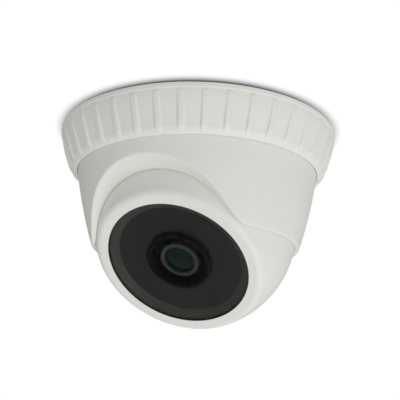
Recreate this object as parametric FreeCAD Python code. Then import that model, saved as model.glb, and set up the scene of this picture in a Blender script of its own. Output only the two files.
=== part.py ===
import FreeCAD, Part
import math
import os

V = FreeCAD.Vector

# Dome camera for a ceiling, hung as it is used. Millimetres, +Z up.
# The origin is the centre of the ceiling face, and the lens looks towards -Y and down.

# ---- driving dimensions -------------------------------------------------------------
RING_R = 55.0            # widest radius, at the top edge of the trim ring
RING_TOP = -0.1          # the trim ring stops this far short of the ceiling
SEAM_R = 47.95           # bore of the trim ring's foot, where the shell comes out
SEAM_Z = -17.1
RIBS = 39                # raised grip ribs round the trim ring
RIB_CREST = 1.9          # width of a rib's flat crest
RIB_FLARE = 0.75         # each flank leans out this much per mm of height
RIB_PHASE = 1.5          # azimuth of one rib, degrees from -Y towards +X

BALL_Z = -37.7           # centre of the ball
BALL_R = 39.5
BALL_WALL = 2.2
LENS_TILT = 51.1         # lens axis below the horizon
FACE_Z = 23.1            # flat front of the ball, along the lens axis from its centre
RIM_ROUND = 3.0
WINDOW_R = 27.5

SHELL_TOP_R = 47.55      # shell where it leaves the trim ring
SHELL_MID_R = 44.45
SHELL_MID_Z = -32.0
SHELL_FOOT_R = 40.3
SHELL_FOOT_Z = -46.4
SHELL_WALL = 2.0
SEAT_GAP = 0.4           # between the ball and its spherical seat
BROW_TILT = 29.5         # axis of the opening's cone below the horizon
BROW_HALF = 47.4         # half angle of that cone, whose tip is the ball's centre
BROW_CORNER = 16.0       # rounding where the opening runs out into the foot
BROW_RISE = 8.0          # height over which the opening's slope at the foot is taken

FLANGE_R = 49.1          # shell flange that hangs on the trim ring's shelf
FLANGE_TOP = -9.4
FLANGE_FOOT = -11.4
SHELF_Z = -11.6
PAN_STOP_W = 3.0

BASE_OPENING_R = 23.0    # cable and ball clearance in the ceiling plate
BASE_PLATE = 3.0
BASE_R = 47.0
BASE_SKIRT = 2.4
BASE_FOOT = -8.2
LUGS = 3
LUG_SWEEP = 34.0
LUG_R = 49.4
RING_LUG_R = 47.4
LUG_T = 2.0
SCREW_PCD = 64.0
SCREW_HOLE_R = 2.25

PIN_R = 2.5
PIN_CLEARANCE = 0.05
PIN_TIP = 41.8
PAD_FACE = 40.0
PAD_R = 5.5
WASHER_R = 4.6
WASHER_T = 0.4

REAR_DEPTH = 18.95       # rear opening plane, from the ball's centre
REAR_POLAR = 170.65      # its normal, from the lens axis over the top of the ball
REAR_COVER_T = 2.0
REAR_SLACK = 0.15

BOARD_T = 1.6
LENS_R = 7.6             # head of the threaded board lens
LENS_THREAD_R = 6.0
LENS_HEAD = 17.0         # head's lower end, front rim and bore step, along the lens axis
LENS_RIM = 20.4
LENS_STEP = 18.0
LENS_BORE_R = 5.9        # seat of the front glass
LENS_INNER_R = 4.65      # seat of the rear glass
LENS_FOOT = 5.0
LENS_NOTCHES = 18

TURN = FreeCAD.Rotation(V(1, 0, 0), 90 + LENS_TILT)
BALL_CENTRE = V(0, 0, BALL_Z)
LENS_FRAME = FreeCAD.Placement(BALL_CENTRE, TURN)   # local +Z is the lens axis


# ---- helpers ------------------------------------------------------------------------
def outline(start, *steps):
    """Closed face in the XZ plane. A step is an end point, or (middle, end) for an arc."""
    edges = []
    here = start
    for step in steps + (start,):
        if isinstance(step[0], tuple):
            middle, end = step
            arc = Part.Arc(*[V(r, 0, z) for r, z in (here, middle, end)])
            edges.append(arc.toShape())
        else:
            end = step
            edges.append(Part.LineSegment(V(here[0], 0, here[1]), V(end[0], 0, end[1])).toShape())
        here = end
    return Part.Face(Part.Wire(edges))


def spin(start, *steps):
    """Solid of revolution about Z."""
    return outline(start, *steps).revolve(V(), V(0, 0, 1), 360)


def disc(radius, z_low, z_high, x=0, y=0):
    return Part.makeCylinder(radius, z_high - z_low, V(x, y, z_low))


def ring(inner, outer, z_low, z_high, x=0, y=0):
    return disc(outer, z_low, z_high, x, y).cut(disc(inner, z_low - 1, z_high + 1, x, y))


def block(x_low, x_high, y_low, y_high, z_low, z_high):
    return Part.makeBox(x_high - x_low, y_high - y_low, z_high - z_low, V(x_low, y_low, z_low))


def sector(inner, outer, z_low, z_high, middle_deg, sweep_deg):
    """Arc-shaped block centred on an azimuth counted from -Y towards +X."""
    face = outline((inner, z_low), (outer, z_low), (outer, z_high), (inner, z_high))
    solid = face.revolve(V(), V(0, 0, 1), sweep_deg)
    solid.rotate(V(), V(0, 0, 1), middle_deg - 90 - sweep_deg / 2)
    return solid


def around(shape, count, phase=0.0):
    """Copies of a shape turned about Z."""
    copies = []
    for index in range(count):
        copy = shape.copy()
        copy.rotate(V(), V(0, 0, 1), phase + index * 360 / count)
        copies.append(copy)
    return copies


def joined(shapes):
    first, *rest = shapes
    return first.multiFuse(rest).removeSplitter() if rest else first


def in_ball(shape):
    """Place a shape drawn along the lens axis into the hung camera."""
    moved = shape.copy()
    moved.Placement = LENS_FRAME.multiply(moved.Placement)
    return moved


def rear_frame(shape):
    """Turn a shape drawn along +Z onto the rear opening's normal, within the ball's frame."""
    moved = shape.copy()
    moved.rotate(V(), V(1, 0, 0), -REAR_POLAR)
    return moved


def screw(head_r, head_t, shank_r, length):
    """Pan-head screw with a cross recess. Head above z = 0, shank below."""
    head = disc(head_r, 0, head_t)
    slot = block(-head_r * 0.6, head_r * 0.6, -0.25, 0.25, head_t * 0.5, head_t + 1)
    turned = slot.copy()
    turned.rotate(V(), V(0, 0, 1), 90)
    return head.cut(slot).cut(turned).fuse(disc(shank_r, -length, 0)).removeSplitter()


def at(shape, x, y, z, flip=False):
    moved = shape.copy()
    if flip:
        moved.rotate(V(), V(1, 0, 0), 180)
    moved.translate(V(x, y, z))
    return moved


def save(node, shape):
    solids = shape if isinstance(shape, list) else shape.Solids
    result = solids[0] if len(solids) == 1 else Part.makeCompound(solids)
    result.exportStep(f"parts/{node}.step")
    box = result.BoundBox
    sides = f"{box.XLength:.1f} x {box.YLength:.1f} x {box.ZLength:.1f}"
    print(f"{node}: {len(solids)} solid(s), {sides} mm, {result.Volume / 1000:.2f} cm3, {result.isValid()}")


# ---- ceiling plate ------------------------------------------------------------------
GASKET_IN = 41.0
GASKET_OUT = 45.0
GASKET_T = 1.0
LUG_TOP = -6.0
COUNTERBORE_R = 4.4
COUNTERBORE = 1.0
LUG_STOP_SWEEP = 3.0     # stop at the end of each lug
LUG_STOP_TOP = -3.4
BASE_RIBS = 6
BASE_RIB_T = 1.6
BASE_RIB_H = 2.0
COLLAR_WALL = 1.8
SCREWS = 3
SCREW_PHASE = 30.0


def mounting_base():
    plate = ring(BASE_OPENING_R, BASE_R, -BASE_PLATE, 0)
    skirt = ring(BASE_R - BASE_SKIRT, BASE_R, BASE_FOOT, -BASE_PLATE)
    lugs = [sector(BASE_R - 0.5, LUG_R, LUG_TOP - LUG_T, LUG_TOP, 120 * k, LUG_SWEEP) for k in range(LUGS)]
    stop = LUG_SWEEP / 2 + LUG_STOP_SWEEP
    stops = [sector(BASE_R - 0.5, LUG_R, LUG_TOP - LUG_T, LUG_STOP_TOP, 120 * k - stop, LUG_STOP_SWEEP)
             for k in range(LUGS)]
    rib_foot = -BASE_PLATE - BASE_RIB_H
    collar = ring(BASE_OPENING_R, BASE_OPENING_R + COLLAR_WALL, rib_foot, -BASE_PLATE)
    rib = block(BASE_OPENING_R + 1, BASE_R - BASE_SKIRT + 0.5, -BASE_RIB_T / 2, BASE_RIB_T / 2, rib_foot,
                -BASE_PLATE)
    ribs = around(rib, BASE_RIBS)
    pan_stop = block(-PAN_STOP_W / 2, PAN_STOP_W / 2, -BASE_R + 1, -41.5, BASE_FOOT + 0.2, -BASE_PLATE)
    body = joined([plate, skirt, collar, pan_stop] + ribs + lugs + stops)
    body = body.cut(ring(GASKET_IN, GASKET_OUT, -GASKET_T, 1))
    for index in range(SCREWS):
        hole = disc(SCREW_HOLE_R, -BASE_PLATE - 1, 1, SCREW_PCD / 2)
        seat = disc(COUNTERBORE_R, -BASE_PLATE - 3, -BASE_PLATE + COUNTERBORE, SCREW_PCD / 2)
        drill = hole.fuse(seat)
        drill.rotate(V(), V(0, 0, 1), SCREW_PHASE + 360 / SCREWS * index)
        body = body.cut(drill)
    return body


def base_gasket():
    return ring(GASKET_IN, GASKET_OUT, -GASKET_T, 0)


def pan_friction_ring():
    return ring(BASE_R - BASE_SKIRT + 0.2, BASE_R - 0.2, FLANGE_TOP + 0.2, BASE_FOOT)


# ---- trim ring ----------------------------------------------------------------------
RING_BEVEL = 0.5
RING_INNER_TOP = 52.4
RING_INNER = 49.5
BAND_FOOT = -1.8         # plain band along the top edge, a little proud of the wall below
# wall between the ribs, from under the band down to the rounded foot
RING_WAIST = ((54.6, -2.1), (54.15, -4.2), (52.9, -8.0), (51.3, -12.0), (50.6, -13.8))
FOOT_BEND = (49.75, -15.65)
FOOT_TIP = (48.4, -17.0)
# crest line of a rib, which runs into the wall at both ends
RIB_LINE = ((54.3, -1.9), (54.75, -2.8), (54.4, -4.2), (53.4, -8.0), (52.05, -12.0), (51.35, -13.8),
            (49.9, -15.7), (47.9, -17.2))
RIB_SUNK = 1.9           # how far a rib's section reaches into the wall


def smooth_edge(points):
    curve = Part.BSplineCurve()
    curve.interpolate([V(r, 0, z) for r, z in points])
    return curve


def ring_rib():
    """One rib: a section with leaning flanks, swept down the crest line and sunk into the wall."""
    path = smooth_edge(RIB_LINE)
    start = path.value(path.FirstParameter)
    down = path.tangent(path.FirstParameter)[0]
    out = V(-down.z, 0, down.x)
    side = V(0, 1, 0)
    foot = RIB_CREST / 2 + RIB_FLARE * RIB_SUNK
    corners = [start + side * y - out * sink for y, sink in
               ((-RIB_CREST / 2, 0), (RIB_CREST / 2, 0), (foot, RIB_SUNK), (-foot, RIB_SUNK), (-RIB_CREST / 2, 0))]
    return Part.Wire(path.toShape()).makePipeShell([Part.makePolygon(corners)], True, False)


def trim_ring():
    first, last = RING_WAIST[0], RING_WAIST[-1]
    corners = [FOOT_TIP, (SEAM_R, SEAM_Z), (SEAM_R, SHELF_Z), (0, SHELF_Z), (0, RING_TOP),
               (RING_R - RING_BEVEL, RING_TOP), (RING_R, RING_TOP - RING_BEVEL), (RING_R - 0.1, BAND_FOOT), first]
    edges = [smooth_edge(RING_WAIST).toShape()]
    edges.append(Part.Arc(*[V(r, 0, z) for r, z in (last, FOOT_BEND, FOOT_TIP)]).toShape())
    for (r0, z0), (r1, z1) in zip(corners, corners[1:]):
        edges.append(Part.LineSegment(V(r0, 0, z0), V(r1, 0, z1)).toShape())
    wall = Part.Face(Part.Wire(Part.__sortEdges__(edges))).revolve(V(), V(0, 0, 1), 360)
    wall = joined([wall] + around(ring_rib(), RIBS, RIB_PHASE - 90))
    wall = wall.cut(disc(SEAM_R, -30, 1))
    wall = wall.cut(spin((0, SHELF_Z), (RING_INNER, SHELF_Z), (RING_INNER, -8.3), (RING_INNER_TOP, -3.0),
                         (RING_INNER_TOP, 1), (0, 1)))
    lugs = [sector(RING_LUG_R, RING_INNER_TOP + 0.4, LUG_TOP + 0.2, LUG_TOP + 2.4, 120 * k, LUG_SWEEP)
            for k in range(LUGS)]
    return joined([wall] + lugs)


# ---- dome shell ---------------------------------------------------------------------
CAVITY_FOOT = -38.5
CONE_LENGTH = 80.0       # longer than anything it cuts
CUTTER_MARGIN = 3.0      # how far the corner tool stands outside the shell
CUTTER_DEPTH = 16.0
STOP_TAB_IN = 41.8       # tab that meets the base's pan stop
STOP_TAB_OUT = 44.3
STOP_TAB_FOOT_OUT = 46.5


def brow_cone(grow=0.0):
    """Cone from the ball's centre through the opening, with its wall moved out by grow."""
    half = math.radians(BROW_HALF)
    back = grow / math.sin(half)
    cone = Part.makeCone(0, CONE_LENGTH * math.tan(half), CONE_LENGTH)
    cone.translate(V(0, 0, -back))
    cone.rotate(V(), V(1, 0, 0), 90 + BROW_TILT)
    cone.translate(BALL_CENTRE)
    return cone


def dome_shell():
    foot = (SHELL_FOOT_R, SHELL_FOOT_Z)
    solid = spin((0, FLANGE_TOP), (FLANGE_R, FLANGE_TOP), (FLANGE_R, FLANGE_FOOT), (SHELL_TOP_R, FLANGE_FOOT),
                 (SHELL_TOP_R, SEAM_Z + 0.4), ((SHELL_MID_R, SHELL_MID_Z), foot), (0, SHELL_FOOT_Z))
    seat = Part.makeSphere(BALL_R + SEAT_GAP, BALL_CENTRE)
    solid = solid.cut(seat).cut(brow_cone())
    solid = max(solid.Solids, key=lambda piece: piece.Volume)
    solid = solid.cut(brow_corner_cutter(1)).cut(brow_corner_cutter(-1))
    top_in = SHELL_TOP_R - SHELL_WALL
    cavity = spin((0, FLANGE_TOP + 1), (top_in, FLANGE_TOP + 1), (top_in, SEAM_Z + 0.4),
                  ((SHELL_MID_R - SHELL_WALL, SHELL_MID_Z), (shell_inner_at(CAVITY_FOOT), CAVITY_FOOT)),
                  (0, CAVITY_FOOT))
    cavity = cavity.cut(brow_cone(SHELL_WALL))
    pad = Part.makeCylinder(PAD_R, 120, V(-60, 0, BALL_Z), V(1, 0, 0))
    keep = pad.cut(Part.makeCylinder(PAD_R + 1, 2 * PAD_FACE, V(-PAD_FACE, 0, BALL_Z), V(1, 0, 0)))
    cavity = cavity.cut(keep)
    solid = solid.cut(cavity)
    socket = PIN_R + PIN_CLEARANCE
    solid = solid.cut(Part.makeCylinder(socket, 2 * (PIN_TIP + 0.1), V(-PIN_TIP - 0.1, 0, BALL_Z), V(1, 0, 0)))
    solid = solid.cut(seat)
    solid = solid.cut(Part.makeCylinder(WASHER_R + 0.4, 2 * PAD_FACE, V(-PAD_FACE, 0, BALL_Z), V(1, 0, 0)))
    tab = block(-PAN_STOP_W / 2, PAN_STOP_W / 2, STOP_TAB_IN, STOP_TAB_OUT, FLANGE_FOOT, BASE_FOOT + 1.5)
    tab = tab.fuse(block(-PAN_STOP_W / 2, PAN_STOP_W / 2, STOP_TAB_OUT - 0.3, STOP_TAB_FOOT_OUT, FLANGE_FOOT,
                         FLANGE_TOP - 0.1))
    return joined([solid, tab])


def shell_inner_at(z):
    """Inner wall radius on the arc through the three driving points, moved in by the wall."""
    arc = Part.Arc(V(SHELL_TOP_R, 0, SEAM_Z + 0.4), V(SHELL_MID_R, 0, SHELL_MID_Z),
                   V(SHELL_FOOT_R, 0, SHELL_FOOT_Z))
    low, high = arc.FirstParameter, arc.LastParameter
    falling = arc.value(low).z > arc.value(high).z
    for _ in range(50):
        middle = (low + high) / 2
        if (arc.value(middle).z > z) == falling:
            low = middle
        else:
            high = middle
    return arc.value(low).x - SHELL_WALL


def brow_azimuth(radius, z):
    """Azimuth from -Y at which the opening's cone passes through a given radius and height."""
    drop = BALL_Z - z
    reach = math.hypot(radius, drop) * math.cos(math.radians(BROW_HALF))
    axis = math.radians(BROW_TILT)
    return math.acos((reach - drop * math.sin(axis)) / (radius * math.cos(axis)))


def brow_corner_cutter(side):
    """Tool that rounds the shell's corner where the arch of the opening meets the foot."""
    corner = brow_azimuth(SHELL_FOOT_R, SHELL_FOOT_Z)
    upper_z = SHELL_FOOT_Z + BROW_RISE
    upper_r = shell_inner_at(upper_z) + SHELL_WALL
    lean = math.atan2((corner - brow_azimuth(upper_r, upper_z)) * SHELL_FOOT_R, BROW_RISE)
    reach = BROW_CORNER * math.tan((math.pi / 2 - lean) / 2)
    along = (-math.sin(lean), math.cos(lean))
    across = (-math.cos(lean), -math.sin(lean))
    centre_gap = math.hypot(reach, BROW_CORNER)
    pull = 1 - BROW_CORNER / centre_gap
    foot = (reach, 0)
    head = (reach * along[0], reach * along[1])
    middle = (reach * pull, BROW_CORNER * pull)
    outside = (head[0] + CUTTER_MARGIN * across[0], head[1] + CUTTER_MARGIN * across[1])
    face = outline(foot, (middle, head), outside, (outside[0], -CUTTER_MARGIN), (reach, -CUTTER_MARGIN))
    tool = face.extrude(V(0, -CUTTER_DEPTH, 0))
    tool.translate(V(0, CUTTER_DEPTH / 2 - SHELL_FOOT_R, SHELL_FOOT_Z))
    tool.rotate(V(), V(0, 0, 1), math.degrees(corner))
    return tool if side > 0 else tool.mirror(V(), V(1, 0, 0))


# ---- ball ---------------------------------------------------------------------------
INNER_R = BALL_R - BALL_WALL
LEDGE_R = 25.5
LEDGE_LOW = 17.0
LEDGE_HIGH = 18.4
RECESS_R = WINDOW_R + 0.2
BOSS_RHO = 28.3
BOSS_R = 2.6
BRACKET_LOW = 6.0
BRACKET_HIGH = 8.0
REAR_BOSS_RHO = 29.0


def ball_housing():
    fillet_rho = math.sqrt((BALL_R - RIM_ROUND) ** 2 - (FACE_Z - RIM_ROUND) ** 2)
    grow = BALL_R / (BALL_R - RIM_ROUND)
    tangent = (fillet_rho * grow, (FACE_Z - RIM_ROUND) * grow)
    bend = math.atan2(FACE_Z - RIM_ROUND, fillet_rho)
    half_way = (bend + math.pi / 2) / 2
    round_middle = (fillet_rho + RIM_ROUND * math.cos(half_way), FACE_Z - RIM_ROUND + RIM_ROUND * math.sin(half_way))
    outer = spin((0, -BALL_R), ((BALL_R, 0), tangent), (round_middle, (fillet_rho, FACE_Z)), (0, FACE_Z))
    inner_rho = math.sqrt(INNER_R ** 2 - LEDGE_LOW ** 2)
    inner = spin((0, -INNER_R), ((INNER_R, 0), (inner_rho, LEDGE_LOW)), (0, LEDGE_LOW))
    body = outer.cut(inner).cut(disc(LEDGE_R, LEDGE_LOW - 1, LEDGE_HIGH + 1))
    body = body.cut(disc(RECESS_R, LEDGE_HIGH, FACE_Z + 1))
    rear_bosses = around(block(-3, 3, REAR_BOSS_RHO - 3, 37, REAR_DEPTH - REAR_COVER_T - 8,
                               REAR_DEPTH - REAR_COVER_T), 3)
    shaped = [rear_frame(boss).common(Part.makeSphere(BALL_R - 1)) for boss in rear_bosses]
    front_bosses = around(disc(BOSS_R, BRACKET_HIGH, LEDGE_LOW + 0.5, BOSS_RHO), 3, 90)
    body = joined([body] + shaped + front_bosses)
    body = body.cut(rear_frame(block(-60, 60, -60, 60, REAR_DEPTH, 60)))
    for hole in around(disc(1.25, BRACKET_HIGH - 1, 14.5, BOSS_RHO), 3, 90):
        body = body.cut(hole)
    for hole in around(disc(1.0, REAR_DEPTH - 8, REAR_DEPTH, 0, REAR_BOSS_RHO), 3):
        body = body.cut(rear_frame(hole))
    return body.cut(Part.makeCylinder(PIN_R, 200, V(-100, 0, 0), V(1, 0, 0)))


def tilt_pins():
    pin = Part.makeCylinder(PIN_R, PIN_TIP - 36.5, V(36.5, 0, 0), V(1, 0, 0))
    head = Part.makeCylinder(3.8, 1.6, V(34.9, 0, 0), V(1, 0, 0))
    right = pin.fuse(head).removeSplitter()
    left = right.copy()
    left.rotate(V(), V(0, 0, 1), 180)
    return [right, left]


def tilt_washers():
    outer = Part.makeCylinder(WASHER_R, WASHER_T, V(BALL_R, 0, 0), V(1, 0, 0))
    right = outer.cut(Part.makeCylinder(PIN_R, 4, V(BALL_R - 1, 0, 0), V(1, 0, 0)))
    left = right.copy()
    left.rotate(V(), V(0, 0, 1), 180)
    return [right, left]


def rear_cover():
    radius = math.sqrt(INNER_R ** 2 - REAR_DEPTH ** 2) - REAR_SLACK
    cover = disc(radius, REAR_DEPTH - REAR_COVER_T, REAR_DEPTH)
    stiffener = ring(18, 20, REAR_DEPTH, REAR_DEPTH + 0.8)
    cover = cover.fuse(stiffener).cut(disc(GROMMET_NECK, 0, 40, 0, GROMMET_Y))
    for hole in around(disc(1.1, REAR_DEPTH - 3, REAR_DEPTH + 2, 0, REAR_BOSS_RHO), 3):
        cover = cover.cut(hole)
    return rear_frame(cover)


GROMMET_Y = 8.0          # towards the front of the hung camera
GROMMET_NECK = 4.2
GROMMET_BORE = 2.6


def cable_grommet():
    low = REAR_DEPTH - REAR_COVER_T
    grommet = disc(GROMMET_NECK, low, REAR_DEPTH, 0, GROMMET_Y)
    grommet = grommet.fuse(disc(6.0, REAR_DEPTH, REAR_DEPTH + 1.4, 0, GROMMET_Y))
    grommet = grommet.fuse(disc(5.4, low - 1.2, low, 0, GROMMET_Y))
    nose = Part.makeCone(4.6, 3.6, 5, V(0, GROMMET_Y, REAR_DEPTH + 1.4))
    grommet = grommet.fuse(nose).removeSplitter()
    return rear_frame(grommet.cut(disc(GROMMET_BORE, 0, 40, 0, GROMMET_Y)))


def rear_cover_screws():
    return [rear_frame(s) for s in around(at(screw(1.9, 1.1, 1.0, 7.5), 0, REAR_BOSS_RHO, REAR_DEPTH), 3)]


# ---- window and front panel ----------------------------------------------------------
WINDOW_T = 1.0
PANEL_FLOOR = 20.1
PANEL_FLOOR_R = 24.0
PANEL_BACK = 18.9
SHROUD_IN = 11.3
SHROUD_OUT = 12.6
SHROUD_FOOT = 14.6
SHROUD_WEB_LOW = 15.2    # web inside the shroud, below the lens head
SHROUD_WEB_HIGH = 16.2
SHROUD_HOLE_R = 6.6


def front_window():
    return spin((0, FACE_Z - WINDOW_T), (WINDOW_R, FACE_Z - WINDOW_T), (WINDOW_R, FACE_Z - 0.25),
                (WINDOW_R - 0.25, FACE_Z), (0, FACE_Z))


def window_gasket():
    return ring(LEDGE_R + 0.2, WINDOW_R, LEDGE_HIGH, PANEL_BACK)


def front_panel():
    rim = FACE_Z - WINDOW_T
    return spin((SHROUD_OUT, PANEL_BACK), (WINDOW_R, PANEL_BACK), (WINDOW_R, rim), (WINDOW_R - 0.4, rim),
                (PANEL_FLOOR_R, PANEL_FLOOR), (SHROUD_OUT, PANEL_FLOOR))


def lens_shroud():
    top = FACE_Z - WINDOW_T
    return spin((SHROUD_OUT, SHROUD_FOOT), (SHROUD_OUT, top - 0.3), (SHROUD_OUT - 0.3, top),
                (SHROUD_IN + 0.3, top), (SHROUD_IN, top - 0.3), (SHROUD_IN, SHROUD_WEB_HIGH),
                (SHROUD_HOLE_R, SHROUD_WEB_HIGH), (SHROUD_HOLE_R, SHROUD_WEB_LOW), (SHROUD_IN, SHROUD_FOOT))


# ---- infrared board ------------------------------------------------------------------
IR_LOW = 13.0
IR_HIGH = 14.2
IR_OUT = 23.5
LEDS = 12
LED_RHO = 18.5
IR_POST_RHO = 21.4


def ir_board():
    board = ring(SHROUD_OUT + 0.4, IR_OUT, IR_LOW, IR_HIGH)
    for hole in around(disc(1.0, IR_LOW - 1, IR_HIGH + 1, IR_POST_RHO), 3, 30):
        board = board.cut(hole)
    return board


def ir_leds():
    body = disc(1.9, IR_HIGH, IR_HIGH + 1.0, LED_RHO)
    dome = Part.makeSphere(1.6, V(LED_RHO, 0, IR_HIGH + 1.0)).cut(block(0, 40, -5, 5, 0, IR_HIGH + 1.0))
    return around(body.fuse(dome).removeSplitter(), LEDS, 15)


def light_sensor():
    return disc(2.3, IR_HIGH, IR_HIGH + 1.6, 0, -16.0)


def ir_board_screws():
    return around(at(screw(1.9, 1.2, 1.0, 4.5), IR_POST_RHO, 0, IR_HIGH), 3, 30)


# ---- camera core ---------------------------------------------------------------------
STANDOFF = 16.0
BOARD_HALF = 19.0
BOARD_HIGH = -2.6
BOARD_LOW = BOARD_HIGH - BOARD_T
HOLDER_TOP = 13.0
FILTER_TRAVEL = 5.2


def core_bracket():
    plate = ring(9.0, 31.5, BRACKET_LOW, BRACKET_HIGH)
    posts = around(disc(2.0, BRACKET_HIGH, IR_LOW, IR_POST_RHO), 3, 30)
    stiffener = ring(25.2, 26.6, BRACKET_HIGH, BRACKET_HIGH + 2)
    stiffener = stiffener.cut(Part.makeCompound(around(disc(3.2, 0, 20, BOSS_RHO), 3, 90)))
    bracket = joined([plate, stiffener] + posts)
    holes = around(disc(1.0, IR_LOW - 3.5, IR_LOW + 1, IR_POST_RHO), 3, 30)
    holes += around(disc(1.25, 0, 20, BOSS_RHO), 3, 90)
    holes += around(block(13, 23, -5, 5, 0, 20), 3, 90)
    return bracket.cut(Part.makeCompound(holes))


def bracket_screws():
    return around(at(screw(2.3, 1.5, 1.25, 8.0), BOSS_RHO, 0, BRACKET_LOW, flip=True), 3, 90)


def corner_places():
    return [(x, y) for x in (-STANDOFF, STANDOFF) for y in (-STANDOFF, STANDOFF)]


def standoffs():
    hexagon = Part.makePolygon([V(2.4 * math.cos(math.radians(60 * k)), 2.4 * math.sin(math.radians(60 * k)),
                                  BOARD_HIGH) for k in range(7)])
    post = Part.Face(hexagon).extrude(V(0, 0, BRACKET_LOW - BOARD_HIGH)).cut(disc(1.2, BOARD_HIGH - 1, 3))
    return [at(post, x, y, 0) for x, y in corner_places()]


def main_board():
    board = block(-BOARD_HALF, BOARD_HALF, -BOARD_HALF, BOARD_HALF, BOARD_LOW, BOARD_HIGH)
    upright = [edge for edge in board.Edges if edge.BoundBox.ZLength > 1]
    board = board.makeFillet(2.5, upright)
    for x, y in corner_places():
        board = board.cut(disc(1.2, BOARD_LOW - 1, BOARD_HIGH + 1, x, y))
    return board


def board_screws():
    return [at(screw(2.1, 1.4, 1.2, 5.0), x, y, BOARD_LOW, flip=True) for x, y in corner_places()]


def image_sensor():
    return block(-4.6, 4.6, -4.6, 4.6, BOARD_HIGH, BOARD_HIGH + 0.9)


def sensor_glass():
    return block(-3.9, 3.9, -3.9, 3.9, BOARD_HIGH + 0.9, BOARD_HIGH + 1.4)


def lens_holder():
    base = block(-11, 11, -8, 8, BOARD_HIGH, 4.0)
    tube = disc(7.5, 4.0, HOLDER_TOP)
    body = base.fuse(tube).removeSplitter()
    body = body.cut(disc(LENS_THREAD_R + 0.05, 3.6, HOLDER_TOP + 1))
    body = body.cut(disc(5.0, -1, 4))
    body = body.cut(block(-10.4, 10.4, -6.2, 6.2, 0.4, 2.8))
    return body.cut(block(-5.2, 5.2, -5.2, 5.2, BOARD_HIGH - 1, -0.6))


def filter_frame():
    frame = block(-8.2, 3.0, -6.0, 6.0, 0.6, 2.6)
    for x in (0, -FILTER_TRAVEL):
        frame = frame.cut(block(x - 2.3, x + 2.3, -4.6, 4.6, 0, 3))
    return frame


def filter_glasses():
    return [block(x - 2.3, x + 2.3, -4.6, 4.6, 1.3, 1.9) for x in (0, -FILTER_TRAVEL)]


def filter_coil():
    core = block(-6, 6, 8.0, 9.2, -0.5, 3.5)
    winding = Part.makeCylinder(2.0, 8, V(-4, 10.8, 1.5), V(1, 0, 0))
    return joined([core, winding, block(-4.8, -4.0, 9.0, 12.8, -0.5, 3.5), block(4.0, 4.8, 9.0, 12.8, -0.5, 3.5)])


def lens_barrel():
    body = spin((LENS_INNER_R, LENS_FOOT), (LENS_THREAD_R, LENS_FOOT), (LENS_THREAD_R, LENS_HEAD),
                (LENS_R, LENS_HEAD), (LENS_R, LENS_RIM - 0.3), (LENS_R - 0.3, LENS_RIM),
                (LENS_BORE_R + 0.2, LENS_RIM), (LENS_BORE_R, LENS_RIM - 0.5), (LENS_BORE_R, LENS_STEP),
                (LENS_INNER_R, LENS_STEP))
    notch = block(LENS_R - 0.5, LENS_R + 1, -0.35, 0.35, LENS_HEAD, LENS_RIM - 0.9)
    return body.cut(Part.makeCompound(around(notch, LENS_NOTCHES)))


def lens_element(radius, low, edge, crown):
    """Plano-convex glass: flat at low, cylindrical up to edge, then a spherical cap up to crown."""
    cap_r = (radius ** 2 + (crown - edge) ** 2) / (2 * (crown - edge))
    cap = Part.makeSphere(cap_r, V(0, 0, crown - cap_r))
    return disc(radius, low, crown + 1).common(cap.common(disc(radius + 1, low, crown + 1)))


def lens_front_glass():
    return lens_element(LENS_BORE_R, LENS_STEP, LENS_STEP + 1.2, LENS_STEP + 2.1)


def lens_rear_glass():
    return lens_element(LENS_INNER_R, LENS_FOOT + 0.4, LENS_FOOT + 1.6, LENS_FOOT + 2.3)


def focus_lock_ring():
    nut = ring(LENS_THREAD_R, 7.4, HOLDER_TOP + 0.25, HOLDER_TOP + 1.75)
    return nut.cut(Part.makeCompound(around(block(6.8, 9, -0.5, 0.5, 12, 16), 8)))


# ---- parts on the back of the main board ---------------------------------------------
CHIP_LOW = BOARD_LOW - 1.4
PAD_LOW = CHIP_LOW - 1.0


def board_components():
    places = ((-7, 7, -7, 7, 1.4), (-15.5, -10.5, -4, 4, 1.0), (10.5, 15.5, -3, 3, 1.6), (-5, 5, -14.5, -10, 1.2),
              (-12, -9, -14, -11, 2.2), (9, 13, -12.5, -8, 2.0))
    chips = [block(x0, x1, y0, y1, BOARD_LOW - height, BOARD_LOW) for x0, x1, y0, y1, height in places]
    cans = [disc(2.0, BOARD_LOW - 4.5, BOARD_LOW, x, 10.5) for x in (-12.5, 12.5)]
    return chips + cans


def board_connectors():
    parts = []
    for x, half in ((-5.5, 4.0), (5.0, 3.0)):
        shell = block(x - half, x + half, 12.5, 17.5, BOARD_LOW - 5, BOARD_LOW)
        parts.append(shell.cut(block(x - half + 0.7, x + half - 0.7, 13.3, 16.7, BOARD_LOW - 6, BOARD_LOW - 1)))
    return parts


def thermal_pad():
    return block(-6.5, 6.5, -6.5, 6.5, PAD_LOW, CHIP_LOW)


def heat_spreader():
    plate = block(-9, 9, -9, 9, PAD_LOW - 1.2, PAD_LOW)
    fins = [block(-9, 9, y - 0.5, y + 0.5, PAD_LOW - 4.5, PAD_LOW - 1) for y in (-8.5, -5.1, -1.7, 1.7, 5.1, 8.5)]
    return joined([plate] + fins)


def ribbon_cable():
    """Flat cable from the infrared board down past the bracket to the main board."""
    strip = [block(-4, 4, 22.0, 22.6, BOARD_LOW - 3.6, IR_LOW - 0.6), block(-4, 4, 17.5, 22.6, BOARD_LOW - 3.6,
             BOARD_LOW - 3.0), block(-4, 4, 20.5, 22.6, IR_LOW - 0.6, IR_LOW)]
    return joined(strip)


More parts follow.
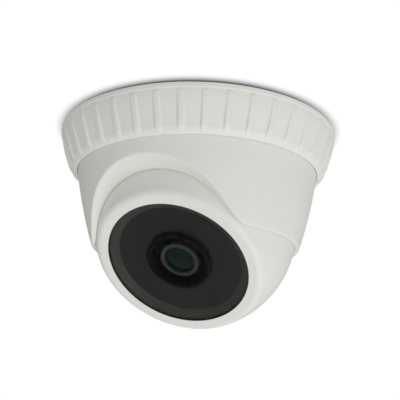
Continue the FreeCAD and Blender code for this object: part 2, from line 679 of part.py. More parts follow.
# ---- write every node ----------------------------------------------------------------
os.makedirs("parts", exist_ok=True)
for make in (mounting_base, base_gasket, pan_friction_ring, trim_ring, dome_shell):
    save(make.__name__, make())
for make in (ball_housing, tilt_pins, tilt_washers, rear_cover, cable_grommet, rear_cover_screws, front_window,
             window_gasket, front_panel, lens_shroud, ir_board, ir_leds, light_sensor, ir_board_screws,
             core_bracket, bracket_screws, standoffs, main_board, board_screws, image_sensor, sensor_glass,
             lens_holder, filter_frame, filter_glasses, filter_coil, lens_barrel, lens_front_glass,
             lens_rear_glass, focus_lock_ring, board_components, board_connectors, thermal_pad, heat_spreader,
             ribbon_cable):
    shape = make()
    solids = shape if isinstance(shape, list) else shape.Solids
    save(make.__name__, [in_ball(solid) for solid in solids])
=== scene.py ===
import math

import bpy
import numpy as np
from mathutils import Matrix, Vector


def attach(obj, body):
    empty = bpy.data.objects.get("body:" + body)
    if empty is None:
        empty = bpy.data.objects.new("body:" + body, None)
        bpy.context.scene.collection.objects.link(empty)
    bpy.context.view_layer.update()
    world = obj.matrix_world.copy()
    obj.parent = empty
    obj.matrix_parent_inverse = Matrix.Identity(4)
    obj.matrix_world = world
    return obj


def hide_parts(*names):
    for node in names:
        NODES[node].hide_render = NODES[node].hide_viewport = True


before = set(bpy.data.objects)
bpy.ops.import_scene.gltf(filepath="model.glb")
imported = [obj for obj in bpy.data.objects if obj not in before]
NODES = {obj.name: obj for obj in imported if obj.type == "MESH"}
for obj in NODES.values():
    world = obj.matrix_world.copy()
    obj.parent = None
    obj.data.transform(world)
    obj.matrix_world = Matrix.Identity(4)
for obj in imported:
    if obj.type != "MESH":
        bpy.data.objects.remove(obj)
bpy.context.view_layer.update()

MM = 0.001

# ---- sizes, in millimetres, as in the CAD model --------------------------------------
RING_R = 55.0
RING_TOP = -0.1
RING_BEVEL = 0.5
RING_INNER_TOP = 52.4
RING_INNER = 49.5
RING_INNER_FOOT = -8.3   # the inside widens from here up to RING_INNER_HEAD
RING_INNER_HEAD = -3.0
BAND_FOOT = -1.8
BAND_STEP = 0.1          # the band's lower edge is this much inside the rim
BAND_SOFT = 0.25
RING_WAIST = ((54.6, -2.1), (54.15, -4.2), (52.9, -8.0), (51.3, -12.0), (50.6, -13.8))
FOOT_BEND = (49.75, -15.65)
FOOT_TIP = (48.4, -17.0)
FOOT_CORNERS = ((50.15, -15.2), (49.3, -16.45))
LIP_DROP = 0.12
LIP_RISE = 0.4
SEAM_R = 47.68           # the CAD bore less a soft lip
SEAM_Z = -17.1
SHELF_Z = -11.6
RIBS = 39
RIB_PHASE = 1.5
RIB_CREST = 0.75         # half width of a rib's crest
RIB_FOOT = 1.35          # half width where its flank meets the wall
RIB_STEPS = (0, 0.45, 0.72, 0.85, 0.97, 1.1, 1.22, 1.36, 1.7, 2.6)    # sections each side of a rib
RIB_BETWEEN = 4.08       # and one about half way to the next
RIB_HEIGHT = ((-16.7, 0.0), (-15.8, 0.2), (-14.6, 0.62), (-13.2, 0.8), (-12.0, 0.75), (-8.0, 0.5),
              (-4.2, 0.3), (-2.9, 0.25), (-2.3, 0.0))
LUGS = 3
LUG_SWEEP = 34.0
LUG_IN = 47.4
LUG_OUT = 52.8
LUG_LOW = -5.8
LUG_HIGH = -3.6

BALL_Z = -37.7
BALL_R = 39.5
LENS_TILT = 51.1
SHELL_TOP = (47.55, -16.7)
SHELL_MID = (44.45, -32.0)
SHELL_FOOT = (40.3, -46.4)
SHELL_WALL = 2.0
FLANGE_R = 49.1
FLANGE_TOP = -9.4
FLANGE_FOOT = -11.4
BROW_TILT = math.radians(29.5)
BROW_HALF = math.radians(47.4)
SHELL_STEP = 0.5         # degrees between the shell's sections
BROW_SOFT = 10           # sections over which the arch runs out into the foot
BROW_SOFT_TOP = 16.0     # height above the foot at which the arch is left as it is
BROW_SOFT_FADE = 8.0
EDGE_ROUND = 0.75
EDGE_SOFT = 0.15         # rounding of the opening's wall where it meets the ball
SEAT_LAND = 1.8          # length of the seat that follows the ball
INNER_RISE = 2.0         # the shell's inside begins this far above the wall's end
INNER_RISE_LEAST = 1.2
BALL_GAP = 0.1           # between the shell's edge and the ball
BEAD_IN = 27.53          # black bead in the gap round the window
BEAD_OUT = 27.67
BEAD_LOW = 22.15
BEAD_HIGH = 23.05
PANEL_FLOOR_R = 23.8     # the panel's slope begins between these two radii
PANEL_SLOPE_R = 24.4
SHARP_FROM = math.radians(38)

# ---- camera: fitted to the outlines of the rim, seam and window -----------------------
CAMERA_AZIMUTH = 26.754
CAMERA_ELEVATION = -17.846
CAMERA_DISTANCE = 364.64
CAMERA_ROLL = 1.472
TARGET_RIGHT = 0.78      # the point looked at, off the origin in the picture's plane
TARGET_UP = -24.61
SENSOR = 36.0
FOCAL = 896.3 / 400 * SENSOR


def direction(azimuth, elevation):
    """Unit vector at an azimuth from -Y towards +X and an elevation above the horizon, in degrees."""
    azimuth, elevation = math.radians(azimuth), math.radians(elevation)
    return Vector((math.sin(azimuth) * math.cos(elevation), -math.cos(azimuth) * math.cos(elevation),
                   math.sin(elevation)))


def add_camera():
    roll = math.radians(CAMERA_ROLL)
    back = direction(CAMERA_AZIMUTH, CAMERA_ELEVATION)
    right = direction(CAMERA_AZIMUTH + 90, 0)
    up = back.cross(right)
    rolled_right = math.cos(roll) * right + math.sin(roll) * up
    rolled_up = -math.sin(roll) * right + math.cos(roll) * up
    place = back * CAMERA_DISTANCE + TARGET_RIGHT * rolled_right + TARGET_UP * rolled_up
    data = bpy.data.cameras.new("camera")
    data.sensor_width = SENSOR
    data.lens = FOCAL
    data.clip_start = 0.01
    data.clip_end = 20
    camera = bpy.data.objects.new("camera", data)
    camera.matrix_world = Matrix((rolled_right, rolled_up, back)).transposed().to_4x4()
    camera.matrix_world.translation = place * MM
    bpy.context.scene.collection.objects.link(camera)
    bpy.context.scene.camera = camera


add_camera()


# ---- node helpers ---------------------------------------------------------------------
def blank(name):
    material = bpy.data.materials.new(name)
    material.use_nodes = True
    return material, material.node_tree, material.node_tree.nodes["Principled BSDF"]


def node(tree, kind, **values):
    """A node with its inputs or properties set by name; underscores stand for spaces in an input's name."""
    made = tree.nodes.new(kind)
    for key, value in values.items():
        socket = made.inputs.get(key.replace("_", " "))
        if socket is None:
            setattr(made, key, value)
        else:
            socket.default_value = value
    return made


def blend_colours(tree, amount, low, high):
    mix = node(tree, "ShaderNodeMix", data_type="RGBA")
    mix.inputs[6].default_value = (*low, 1)
    mix.inputs[7].default_value = (*high, 1)
    tree.links.new(amount, mix.inputs[0])
    return mix.outputs[2]


def rescale(tree, value, low, high, start=0.3, stop=0.7):
    remap = node(tree, "ShaderNodeMapRange")
    for socket, number in zip(("From Min", "From Max", "To Min", "To Max"), (start, stop, low, high)):
        remap.inputs[socket].default_value = number
    tree.links.new(value, remap.inputs["Value"])
    return remap.outputs["Result"]


def noise(tree, place, size, detail=3.0):
    """Noise whose features are about size millimetres across."""
    cloud = node(tree, "ShaderNodeTexNoise", Scale=1 / (size * MM), Detail=detail)
    tree.links.new(place, cloud.inputs["Vector"])
    return cloud.outputs["Fac"]


def relief(tree, shader, height, depth):
    """Bump of a given depth in millimetres."""
    bump = node(tree, "ShaderNodeBump", Strength=1.0, Distance=depth * MM)
    tree.links.new(height, bump.inputs["Height"])
    tree.links.new(bump.outputs["Normal"], shader.inputs["Normal"])


def moulded(name, colour, roughness, grain=0.25, depth=0.006, mottle=0.03, specular=0.5):
    """Injection-moulded plastic: fine spark-eroded grain, faint flow clouds, uneven sheen."""
    material, tree, shader = blank(name)
    place = node(tree, "ShaderNodeTexCoord").outputs["Object"]
    clouds = noise(tree, place, 22.0)
    fine = noise(tree, place, grain, 2.0)
    low = tuple(c * (1 - mottle) for c in colour)
    high = tuple(min(1.0, c * (1 + mottle)) for c in colour)
    tree.links.new(blend_colours(tree, clouds, low, high), shader.inputs["Base Color"])
    smears = noise(tree, place, 7.0)
    tree.links.new(rescale(tree, smears, roughness - 0.05, roughness + 0.07), shader.inputs["Roughness"])
    relief(tree, shader, fine, depth)
    shader.inputs["Specular IOR Level"].default_value = specular
    return material


def metal(name, colour, roughness):
    """Turned or drawn metal with fine streaks."""
    material, tree, shader = blank(name)
    place = node(tree, "ShaderNodeTexCoord").outputs["Object"]
    stretch = node(tree, "ShaderNodeMapping")
    stretch.inputs["Scale"].default_value = (1, 1, 8)
    tree.links.new(place, stretch.inputs["Vector"])
    streaks = noise(tree, stretch.outputs["Vector"], 0.5)
    low = tuple(c * 0.85 for c in colour)
    tree.links.new(blend_colours(tree, streaks, low, colour), shader.inputs["Base Color"])
    tree.links.new(rescale(tree, streaks, roughness - 0.06, roughness + 0.1), shader.inputs["Roughness"])
    relief(tree, shader, streaks, 0.004)
    shader.inputs["Metallic"].default_value = 1.0
    return material


def cellular(name, colour, cell, depth, roughness):
    """Foam or cast rubber: small open cells."""
    material, tree, shader = blank(name)
    place = node(tree, "ShaderNodeTexCoord").outputs["Object"]
    cells = node(tree, "ShaderNodeTexVoronoi", Scale=1 / (cell * MM))
    tree.links.new(place, cells.inputs["Vector"])
    low = tuple(c * 0.6 for c in colour)
    tree.links.new(blend_colours(tree, cells.outputs["Distance"], low, colour), shader.inputs["Base Color"])
    relief(tree, shader, cells.outputs["Distance"], depth)
    shader.inputs["Roughness"].default_value = roughness
    return material


def striped(name, low, high, pitch, roughness, metallic=0.0):
    """Evenly wound or laid strands, for the coil and the flat cable."""
    material, tree, shader = blank(name)
    place = node(tree, "ShaderNodeTexCoord").outputs["Object"]
    bands = node(tree, "ShaderNodeTexWave", bands_direction="X", Scale=math.pi / 10 / (pitch * MM),
                 Distortion=0.2)
    tree.links.new(place, bands.inputs["Vector"])
    tree.links.new(blend_colours(tree, bands.outputs["Fac"], low, high), shader.inputs["Base Color"])
    relief(tree, shader, bands.outputs["Fac"], 0.05)
    shader.inputs["Roughness"].default_value = roughness
    shader.inputs["Metallic"].default_value = metallic
    return material


def circuit(name, mask, track):
    """Solder mask with tracks and pads that show through."""
    material, tree, shader = blank(name)
    place = node(tree, "ShaderNodeTexCoord").outputs["Object"]
    tracks = node(tree, "ShaderNodeTexBrick", Scale=1 / (2.6 * MM), Mortar_Size=0.05)
    tracks.inputs["Color1"].default_value = (0, 0, 0, 1)
    tracks.inputs["Color2"].default_value = (0, 0, 0, 1)
    tracks.inputs["Mortar"].default_value = (1, 1, 1, 1)
    tree.links.new(place, tracks.inputs["Vector"])
    tree.links.new(blend_colours(tree, tracks.outputs["Color"], mask, track), shader.inputs["Base Color"])
    relief(tree, shader, tracks.outputs["Color"], 0.03)
    shader.inputs["Roughness"].default_value = 0.32
    return material


def clear(name, colour, roughness, ior):
    """Clear moulded sheet with a faint haze of fingermarks in its roughness."""
    material, tree, shader = blank(name)
    place = node(tree, "ShaderNodeTexCoord").outputs["Object"]
    haze = noise(tree, place, 9.0)
    tree.links.new(rescale(tree, haze, roughness, roughness + 0.03), shader.inputs["Roughness"])
    shader.inputs["Base Color"].default_value = (*colour, 1)
    shader.inputs["Transmission Weight"].default_value = 1.0
    shader.inputs["IOR"].default_value = ior
    return material


def let_lamps_through(material):
    """Lamps shine through the sheet, as they do through a thin clear cover."""
    tree = material.node_tree
    output = tree.nodes["Material Output"]
    lamp_ray = node(tree, "ShaderNodeLightPath").outputs["Is Shadow Ray"]
    mix = node(tree, "ShaderNodeMixShader")
    tree.links.new(lamp_ray, mix.inputs[0])
    tree.links.new(tree.nodes["Principled BSDF"].outputs[0], mix.inputs[1])
    tree.links.new(node(tree, "ShaderNodeBsdfTransparent").outputs[0], mix.inputs[2])
    tree.links.new(mix.outputs[0], output.inputs["Surface"])
    return material


def coated_glass(name, colour, specular):
    """Dark multi-coated lens glass."""
    material, tree, shader = blank(name)
    place = node(tree, "ShaderNodeTexCoord").outputs["Object"]
    dust = noise(tree, place, 1.2)
    tree.links.new(rescale(tree, dust, 0.06, 0.16), shader.inputs["Roughness"])
    tone = noise(tree, place, 4.0, 1.0)
    low = tuple(c * 0.4 for c in colour)
    tree.links.new(blend_colours(tree, tone, low, colour), shader.inputs["Base Color"])
    shader.inputs["IOR"].default_value = 1.5
    shader.inputs["Specular IOR Level"].default_value = specular
    return material


def from_lens_axis(tree, place):
    """Distance of a point from the lens axis, in metres."""
    middle = node(tree, "ShaderNodeVectorMath", operation="SUBTRACT")
    middle.inputs[1].default_value = (0, 0, BALL_Z * MM)
    tree.links.new(place, middle.inputs[0])
    turned = node(tree, "ShaderNodeVectorMath", operation="CROSS_PRODUCT")
    turned.inputs[1].default_value = direction(0, -LENS_TILT)
    tree.links.new(middle.outputs[0], turned.inputs[0])
    length = node(tree, "ShaderNodeVectorMath", operation="LENGTH")
    tree.links.new(turned.outputs[0], length.inputs[0])
    return length.outputs["Value"]


def panel_plastic():
    """Smoked front panel: near black, with a lighter and warmer colour on the slope round its rim."""
    material = moulded("smoked_panel", (0.0064, 0.0063, 0.0064), 0.45, 0.2, 0.003, 0.08, 0.19)
    tree = material.node_tree
    shader = tree.nodes["Principled BSDF"]
    flat = shader.inputs["Base Color"].links[0].from_socket
    place = node(tree, "ShaderNodeTexCoord").outputs["Object"]
    rim = rescale(tree, from_lens_axis(tree, place), 0.0, 1.0, PANEL_FLOOR_R * MM,
                  PANEL_SLOPE_R * MM)
    mix = node(tree, "ShaderNodeMix", data_type="RGBA")
    mix.inputs[7].default_value = (0.035, 0.031, 0.0265, 1)
    tree.links.new(rim, mix.inputs[0])
    tree.links.new(flat, mix.inputs[6])
    tree.links.new(mix.outputs[2], shader.inputs["Base Color"])
    return material


WHITE = (0.80, 0.81, 0.76)
FINISHES = {
    "white_plastic": moulded("ring_white", WHITE, 0.42),
    "shell_plastic": moulded("shell_white", WHITE, 0.40),
    "ball_plastic": moulded("ball_white", WHITE, 0.38),
    "base_plastic": moulded("base_white", (0.74, 0.75, 0.72), 0.5, 0.35, 0.012),
    "foam": cellular("black_foam", (0.035, 0.035, 0.036), 0.5, 0.15, 0.95),
    "nylon": moulded("nylon", (0.62, 0.6, 0.54), 0.5),
    "window_clear": let_lamps_through(clear("window_clear", (1.0, 1.0, 1.0), 0.0, 1.06)),
    "smoked_panel": panel_plastic(),
    "black_rubber": moulded("black_rubber", (0.005, 0.005, 0.0046), 0.7, 0.4, 0.02, 0.1, 0.12),
    "black_plastic": moulded("black_plastic", (0.0022, 0.0022, 0.0022), 0.6, 0.2, 0.006, 0.1, 0.08),
    "lens_black": moulded("lens_black", (0.019, 0.0198, 0.0168), 0.5, 0.12, 0.004, 0.08, 0.26),
    "lens_glass": coated_glass("lens_glass", (0.0008, 0.0075, 0.0045), 0.09),
    "pcb": circuit("green_board", (0.01, 0.09, 0.03), (0.03, 0.2, 0.07)),
    "pcb_black": circuit("black_board", (0.008, 0.008, 0.009), (0.03, 0.03, 0.03)),
    "led": clear("led_epoxy", (0.95, 0.93, 0.85), 0.05, 1.5),
    "chip": moulded("chip_epoxy", (0.02, 0.02, 0.021), 0.6, 0.15, 0.01, 0.12),
    "connector": moulded("connector_nylon", (0.66, 0.62, 0.5), 0.5),
    "steel": metal("zinc_steel", (0.62, 0.62, 0.63), 0.32),
    "brass": metal("brass", (0.72, 0.52, 0.22), 0.3),
    "aluminium": metal("aluminium", (0.78, 0.79, 0.8), 0.38),
    "silicone": cellular("grey_silicone", (0.35, 0.38, 0.42), 0.8, 0.03, 0.8),
    "filter_glass": coated_glass("filter_glass", (0.06, 0.015, 0.03), 0.5),
    "copper": striped("copper_winding", (0.35, 0.1, 0.03), (0.85, 0.35, 0.14), 0.25, 0.3, 1.0),
    "ribbon": striped("flat_cable", (0.55, 0.5, 0.42), (0.78, 0.74, 0.66), 0.5, 0.5),
}


# ---- mesh helpers ---------------------------------------------------------------------
def run(start, stop, count):
    """Points along a straight stretch, its end left out."""
    t = np.linspace(0, 1, count, endpoint=False)[:, None]
    return np.array(start) + t * (np.array(stop) - np.array(start))


def bend(start, corner, stop, count):
    """Points round a soft corner, its end left out."""
    t = np.linspace(0, 1, count, endpoint=False)[:, None]
    start, corner, stop = (np.array(p, float) for p in (start, corner, stop))
    return (1 - t) ** 2 * start + 2 * t * (1 - t) * corner + t ** 2 * stop


def wrapped_faces(columns, rows):
    """Quads that close a grid of points in both directions."""
    index = np.arange(columns * rows).reshape(columns, rows)
    beside = np.roll(index, -1, axis=0)
    corners = [index, beside, np.roll(beside, -1, axis=1), np.roll(index, -1, axis=1)]
    return np.stack(corners, -1).reshape(-1, 4)


def solid_of(name, points, azimuths, body, slot, *replaced):
    """Closed mesh from (column, row) sections of (radius, height), wrapped round the axis."""
    columns, rows = points.shape[:2]
    radius, height = points[..., 0], points[..., 1]
    turn = azimuths[:, None]
    places = np.stack([radius * np.sin(turn), -radius * np.cos(turn), height], -1).reshape(-1, 3) * MM
    finished(name, places, wrapped_faces(columns, rows), body, slot, *replaced)


def finished(name, places, faces, body, slot, *replaced):
    """Add a mesh as a piece of the object that rides on a body."""
    mesh = bpy.data.meshes.new(name)
    mesh.from_pydata(places.tolist(), [], faces.tolist())
    mesh.update()
    mesh.polygons.foreach_set("use_smooth", [True] * len(mesh.polygons))
    mesh.set_sharp_from_angle(angle=SHARP_FROM)
    mesh.materials.append(FINISHES[slot])
    piece = bpy.data.objects.new(name, mesh)
    bpy.context.scene.collection.objects.link(piece)
    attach(piece, body)
    if replaced:
        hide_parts(*replaced)


# ---- trim ring ------------------------------------------------------------------------
def ring_section():
    """Section loop of the ring, from the top inner edge outwards and down, and a mask of the points where
    ribs stand.
    """
    waist = np.polynomial.Polynomial.fit([z for _, z in RING_WAIST], [r for r, _ in RING_WAIST], 4)
    depths = np.linspace(RING_WAIST[0][1], RING_WAIST[-1][1], 34, endpoint=False)
    wall = np.stack([waist(depths), depths], -1)
    edge = RING_R - BAND_STEP
    parts = [run((RING_INNER_TOP, RING_TOP), (RING_R - RING_BEVEL, RING_TOP), 4),
             bend((RING_R - RING_BEVEL, RING_TOP), (RING_R, RING_TOP), (RING_R, RING_TOP - RING_BEVEL), 5),
             run((RING_R, RING_TOP - RING_BEVEL), (edge, BAND_FOOT + BAND_SOFT), 3),
             bend((edge, BAND_FOOT + BAND_SOFT), (edge, BAND_FOOT), RING_WAIST[0], 4),
             wall,
             bend(RING_WAIST[-1], FOOT_CORNERS[0], FOOT_BEND, 7),
             bend(FOOT_BEND, FOOT_CORNERS[1], FOOT_TIP, 7),
             bend(FOOT_TIP, (SEAM_R, SEAM_Z - LIP_DROP), (SEAM_R, SEAM_Z + LIP_RISE), 5),
             run((SEAM_R, SEAM_Z + LIP_RISE), (SEAM_R, SHELF_Z), 5),
             run((SEAM_R, SHELF_Z), (RING_INNER, SHELF_Z), 2),
             run((RING_INNER, SHELF_Z), (RING_INNER, RING_INNER_FOOT), 3),
             run((RING_INNER, RING_INNER_FOOT), (RING_INNER_TOP, RING_INNER_HEAD), 4),
             run((RING_INNER_TOP, RING_INNER_HEAD), (RING_INNER_TOP, RING_TOP), 3)]
    section = np.concatenate(parts)
    outside = np.zeros(len(section))
    first = sum(len(p) for p in parts[:4])
    last = sum(len(p) for p in parts[:7])
    outside[first:last] = 1
    return section, outside


def trim_ring():
    """Ribbed ring: its section, pushed out along its own normal at each rib."""
    section, outside = ring_section()
    steps = np.array(RIB_STEPS)
    offsets = np.concatenate([-steps[:0:-1], steps, [RIB_BETWEEN]]) / (RING_INNER + 2)
    middles = np.radians(RIB_PHASE) + np.arange(RIBS) * 2 * math.pi / RIBS
    azimuths = (middles[:, None] + offsets).ravel()
    across = np.abs(np.tile(offsets, RIBS))[:, None] * section[:, 0]
    flank = np.clip((RIB_FOOT - across) / (RIB_FOOT - RIB_CREST), 0, 1)
    flank = flank * flank * (3 - 2 * flank)
    depths, heights = zip(*RIB_HEIGHT)
    height = np.interp(section[:, 1], depths, heights) * outside
    along = np.roll(section, -1, axis=0) - np.roll(section, 1, axis=0)
    normal = np.stack([-along[:, 1], along[:, 0]], -1) / np.linalg.norm(along, axis=1)[:, None]
    points = section[None] + (height * flank)[..., None] * normal[None]
    solid_of("trim_ring_visual", points, azimuths, "ring", "white_plastic", "trim_ring")


def ring_lugs():
    """Twist-lock lugs inside the ring."""
    steps = 18
    section = np.array([(LUG_IN, LUG_LOW), (LUG_OUT, LUG_LOW), (LUG_OUT, LUG_HIGH), (LUG_IN, LUG_HIGH)])
    places, faces = [], []
    for lug in range(LUGS):
        start = len(places)
        for azimuth in np.radians(120 * lug + np.linspace(-LUG_SWEEP / 2, LUG_SWEEP / 2, steps)):
            places += [(r * math.sin(azimuth), -r * math.cos(azimuth), z) for r, z in section]
        for step in range(steps - 1):
            here = start + 4 * step
            faces += [(here + k, here + 4 + k, here + 4 + (k + 1) % 4, here + (k + 1) % 4) for k in range(4)]
        faces += [(start, start + 1, start + 2, start + 3)]
        end = start + 4 * (steps - 1)
        faces += [(end + 3, end + 2, end + 1, end)]
    finished("trim_ring_lugs", np.array(places) * MM, np.array(faces), "ring", "white_plastic")


# ---- dome shell -----------------------------------------------------------------------
def circle_through(first, second, third):
    """Centre and radius of the circle through three points."""
    (ax, ay), (bx, by), (cx, cy) = first, second, third
    rows = np.array([[bx - ax, by - ay], [cx - ax, cy - ay]]) * 2
    sums = np.array([bx * bx + by * by - ax * ax - ay * ay, cx * cx + cy * cy - ax * ax - ay * ay])
    centre = np.linalg.solve(rows, sums)
    return centre, math.hypot(ax - centre[0], ay - centre[1])


SKIN_CENTRE, SKIN_R = circle_through(SHELL_TOP, SHELL_MID, SHELL_FOOT)


def skin(z):
    """Outer radius of the shell at a height: straight above the seam, an arc below it."""
    arc = SKIN_CENTRE[0] + np.sqrt(SKIN_R ** 2 - (np.minimum(z, SHELL_TOP[1]) - SKIN_CENTRE[1]) ** 2)
    return np.where(z > SHELL_TOP[1], SHELL_TOP[0], arc)


def shell_edge(azimuths):
    """Height at which the shell ends: the opening's arch in front, the flat foot elsewhere."""
    low = np.full(len(azimuths), -60.0)
    high = np.full(len(azimuths), SHELL_TOP[1])
    for _ in range(40):
        z = (low + high) / 2
        radius, drop = skin(z), BALL_Z - z
        reach = radius * np.cos(azimuths) * math.cos(BROW_TILT) + drop * math.sin(BROW_TILT)
        inside = reach > np.hypot(radius, drop) * math.cos(BROW_HALF)
        low, high = np.where(inside, z, low), np.where(inside, high, z)
    foot = SHELL_FOOT[1]
    edge = np.maximum(low, foot)
    steps = np.arange(-3 * BROW_SOFT, 3 * BROW_SOFT + 1)
    weights = np.exp(-0.5 * (steps / BROW_SOFT) ** 2)
    softened = sum(w * np.roll(edge, k) for k, w in zip(steps, weights / weights.sum()))
    share = np.clip((foot + BROW_SOFT_TOP - edge) / BROW_SOFT_FADE, 0, 1)
    return edge + share * (softened - edge)


def shell_column(edge):
    """Section loop of the shell at one azimuth, whose outer skin ends at the height edge."""
    corner = np.array([float(skin(edge)), edge])
    ball = np.array([0, BALL_Z])
    inward = (ball - corner) / np.linalg.norm(ball - corner)
    seat = BALL_R + BALL_GAP
    wall_end = ball - inward * seat
    lean = math.atan2(wall_end[1] - BALL_Z, wall_end[0]) + SEAT_LAND / seat
    seat_top = ball + seat * np.array([math.cos(lean), math.sin(lean)])
    wall_start = corner + inward * EDGE_ROUND
    wall_stop = wall_end - inward * EDGE_SOFT
    seat_start = wall_end + (seat_top - wall_end) * EDGE_SOFT / SEAT_LAND
    above = (float(skin(edge + EDGE_ROUND)), edge + EDGE_ROUND)
    rise = max(wall_end[1] + INNER_RISE, edge + INNER_RISE_LEAST)
    heights = np.linspace(rise, FLANGE_TOP, 16, endpoint=False)
    seat_r = np.sqrt(np.maximum(seat ** 2 - (heights - BALL_Z) ** 2, 0))
    inner = np.stack([np.maximum(skin(heights) - SHELL_WALL, seat_r), heights], -1)
    outer_z = np.linspace(FLANGE_FOOT, above[1], 44, endpoint=False)
    return np.concatenate([
        inner,
        run((SHELL_TOP[0] - SHELL_WALL, FLANGE_TOP), (FLANGE_R, FLANGE_TOP), 3),
        run((FLANGE_R, FLANGE_TOP), (FLANGE_R, FLANGE_FOOT), 2),
        run((FLANGE_R, FLANGE_FOOT), (SHELL_TOP[0], FLANGE_FOOT), 2),
        np.stack([skin(outer_z), outer_z], -1),
        bend(above, corner, wall_start, 7),
        run(wall_start, wall_stop, 5),
        bend(wall_stop, wall_end, seat_start, 4),
        run(seat_start, seat_top, 2),
        run(seat_top, inner[0], 3)])


def dome_shell():
    """Outer shell: one section each SHELL_STEP degrees, ending at the edge of the opening or the foot."""
    azimuths = np.radians(np.arange(0, 360, SHELL_STEP))
    edges = shell_edge(np.abs((azimuths + math.pi) % (2 * math.pi) - math.pi))
    points = np.array([shell_column(edge) for edge in edges])
    solid_of("dome_shell_visual", points, azimuths, "shell", "shell_plastic", "dome_shell")


# ---- window bead ----------------------------------------------------------------------
def window_bead():
    """Black bead that closes the gap between the window and the ball's rim."""
    axis, right = np.array(direction(0, -LENS_TILT)), np.array((1.0, 0, 0))
    front = np.cross(right, axis)
    section = np.array([(BEAD_IN, BEAD_HIGH), (BEAD_OUT, BEAD_HIGH), (BEAD_OUT, BEAD_LOW),
                        (BEAD_IN, BEAD_LOW)])
    turns = np.radians(np.arange(0, 360, 2))[:, None, None]
    radius, height = section[None, :, :1], section[None, :, 1:]
    places = radius * (np.cos(turns) * front + np.sin(turns) * right) + height * axis + (0, 0, BALL_Z)
    faces = wrapped_faces(len(turns), len(section))
    finished("window_bead", places.reshape(-1, 3) * MM, faces, "ball", "smoked_panel")


trim_ring()
ring_lugs()
dome_shell()
window_bead()

for obj in NODES.values():
    for index, material in enumerate(obj.data.materials):
        obj.data.materials[index] = FINISHES[material.name.split(".")[0]]

# ---- stage and light ------------------------------------------------------------------
scene = bpy.context.scene
scene.view_settings.view_transform = "Standard"

LIGHT_FROM = direction(CAMERA_AZIMUTH + 40, -53)
DIM = 0.34               # glow from behind the object, and from LIGHT_FROM
BRIGHT = 0.94
FLOOR_REACH = 6.0        # metres
FLOOR_Z = -1.2
FLOOR_FADE = (2.4, 5.5)
SHADOW_IN = 50.0         # millimetres: the drawn shadow, full as far as SHADOW_FULL
SHADOW_FULL = 52.2
SHADOW_OUT = 57.6
SHADOW_SHIFT = 2.9
SHADOW_SECTIONS = 180
KEY_REACH = 1.1          # metres
OVERHEAD_Z = 1.2


def studio():
    """White seen by the camera; for the object, a soft glow that is brightest from LIGHT_FROM."""
    world = bpy.data.worlds.new("studio")
    scene.world = world
    world.use_nodes = True
    tree = world.node_tree
    glow = tree.nodes["Background"]
    place = node(tree, "ShaderNodeTexCoord").outputs["Generated"]
    facing = node(tree, "ShaderNodeVectorMath", operation="DOT_PRODUCT")
    facing.inputs[1].default_value = LIGHT_FROM
    tree.links.new(place, facing.inputs[0])
    strength = rescale(tree, facing.outputs["Value"], DIM, BRIGHT, -0.4, 1.0)
    tree.links.new(strength, glow.inputs["Strength"])
    glow.inputs["Color"].default_value = (1, 1, 1, 1)
    backdrop = node(tree, "ShaderNodeBackground", Strength=1.0)
    backdrop.inputs["Color"].default_value = (1, 1, 1, 1)
    seen = node(tree, "ShaderNodeLightPath").outputs["Is Camera Ray"]
    mix = node(tree, "ShaderNodeMixShader")
    tree.links.new(seen, mix.inputs[0])
    tree.links.new(glow.outputs[0], mix.inputs[1])
    tree.links.new(backdrop.outputs[0], mix.inputs[2])
    tree.links.new(mix.outputs[0], tree.nodes["World Output"].inputs["Surface"])


def area_light(name, place, target, size, power):
    data = bpy.data.lights.new(name, "AREA")
    data.size = size
    data.energy = power
    lamp = bpy.data.objects.new(name, data)
    lamp.location = Vector(place)
    lamp.rotation_euler = (Vector(target) - Vector(place)).to_track_quat("-Z", "Y").to_euler()
    scene.collection.objects.link(lamp)
    lamp.visible_camera = False
    lamp.visible_transmission = False


def floor():
    """Pale floor well below the camera, fading out at its rim."""
    mesh = bpy.data.meshes.new("floor")
    corners = [(x * FLOOR_REACH, y * FLOOR_REACH, FLOOR_Z) for x, y in ((-1, -1), (1, -1), (1, 1), (-1, 1))]
    mesh.from_pydata(corners, [], [(0, 1, 2, 3)])
    material, tree, shader = blank("floor")
    shader.inputs["Base Color"].default_value = (0.86, 0.86, 0.85, 1)
    shader.inputs["Roughness"].default_value = 0.9
    shader.inputs["Emission Color"].default_value = (1, 1, 0.99, 1)
    shader.inputs["Emission Strength"].default_value = 0.42
    distance = node(tree, "ShaderNodeVectorMath", operation="LENGTH")
    tree.links.new(node(tree, "ShaderNodeTexCoord").outputs["Object"], distance.inputs[0])
    fade = rescale(tree, distance.outputs["Value"], 1.0, 0.0, *FLOOR_FADE)
    tree.links.new(fade, shader.inputs["Alpha"])
    mesh.materials.append(material)
    plane = bpy.data.objects.new("floor", mesh)
    scene.collection.objects.link(plane)
    only_seen(plane)


def only_seen(backdrop):
    """A backdrop that the camera sees and that neither lights nor shades the object."""
    backdrop.visible_diffuse = False
    backdrop.visible_glossy = False
    backdrop.visible_transmission = False
    backdrop.visible_shadow = False


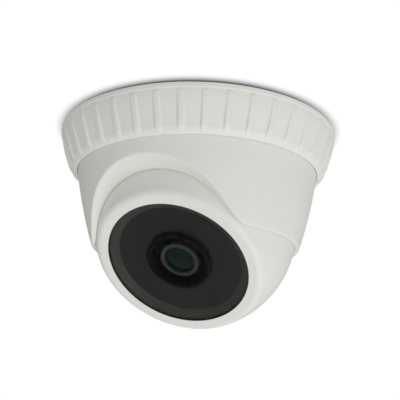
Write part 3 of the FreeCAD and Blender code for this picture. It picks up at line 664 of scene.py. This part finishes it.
def ceiling_shadow():
    """Soft contact shadow on the unseen ceiling round the ring, drawn only where seen from below."""
    steps = SHADOW_SECTIONS
    turns = np.linspace(0, 2 * math.pi, steps, endpoint=False)
    circle = np.stack([np.sin(turns), -np.cos(turns), np.zeros(steps)], -1)
    places = np.concatenate([circle * SHADOW_IN, circle * SHADOW_OUT]) * MM + np.array([0, 0, 0.05 * MM])
    here = np.arange(steps)
    beside = (here + 1) % steps
    mesh = bpy.data.meshes.new("ceiling_shadow")
    quads = np.stack([here, beside, beside + steps, here + steps], -1)
    mesh.from_pydata(places.tolist(), [], quads.tolist())
    material, tree, shader = blank("ceiling_shadow")
    distance = node(tree, "ShaderNodeVectorMath", operation="LENGTH")
    tree.links.new(node(tree, "ShaderNodeTexCoord").outputs["Object"], distance.inputs[0])
    fade = rescale(tree, distance.outputs["Value"], 0.95, 0.0, SHADOW_FULL * MM, SHADOW_OUT * MM)
    soft = node(tree, "ShaderNodeMath", operation="POWER")
    soft.inputs[1].default_value = 1.6
    tree.links.new(fade, soft.inputs[0])
    above = node(tree, "ShaderNodeNewGeometry").outputs["Backfacing"]
    below = node(tree, "ShaderNodeMath", operation="SUBTRACT")
    below.inputs[0].default_value = 1.0
    tree.links.new(above, below.inputs[1])
    share = node(tree, "ShaderNodeMath", operation="MULTIPLY")
    tree.links.new(soft.outputs[0], share.inputs[0])
    tree.links.new(below.outputs[0], share.inputs[1])
    mix = node(tree, "ShaderNodeMixShader")
    tree.links.new(share.outputs[0], mix.inputs[0])
    tree.links.new(node(tree, "ShaderNodeBsdfTransparent").outputs[0], mix.inputs[1])
    dark = node(tree, "ShaderNodeEmission", Strength=1.0)
    dark.inputs["Color"].default_value = (0.02, 0.02, 0.02, 1)
    tree.links.new(dark.outputs[0], mix.inputs[2])
    tree.links.new(mix.outputs[0], tree.nodes["Material Output"].inputs["Surface"])
    tree.nodes.remove(shader)
    mesh.materials.append(material)
    shadow = bpy.data.objects.new("ceiling_shadow", mesh)
    shadow.location = direction(CAMERA_AZIMUTH, 0) * SHADOW_SHIFT * MM
    scene.collection.objects.link(shadow)
    only_seen(shadow)


studio()
floor()
ceiling_shadow()
area_light("key", tuple(LIGHT_FROM * KEY_REACH), (0, 0, -0.03), 0.6, 1.7)
area_light("overhead", (0, 0, OVERHEAD_Z), (0, 0, 0), 1.0, 5.5)
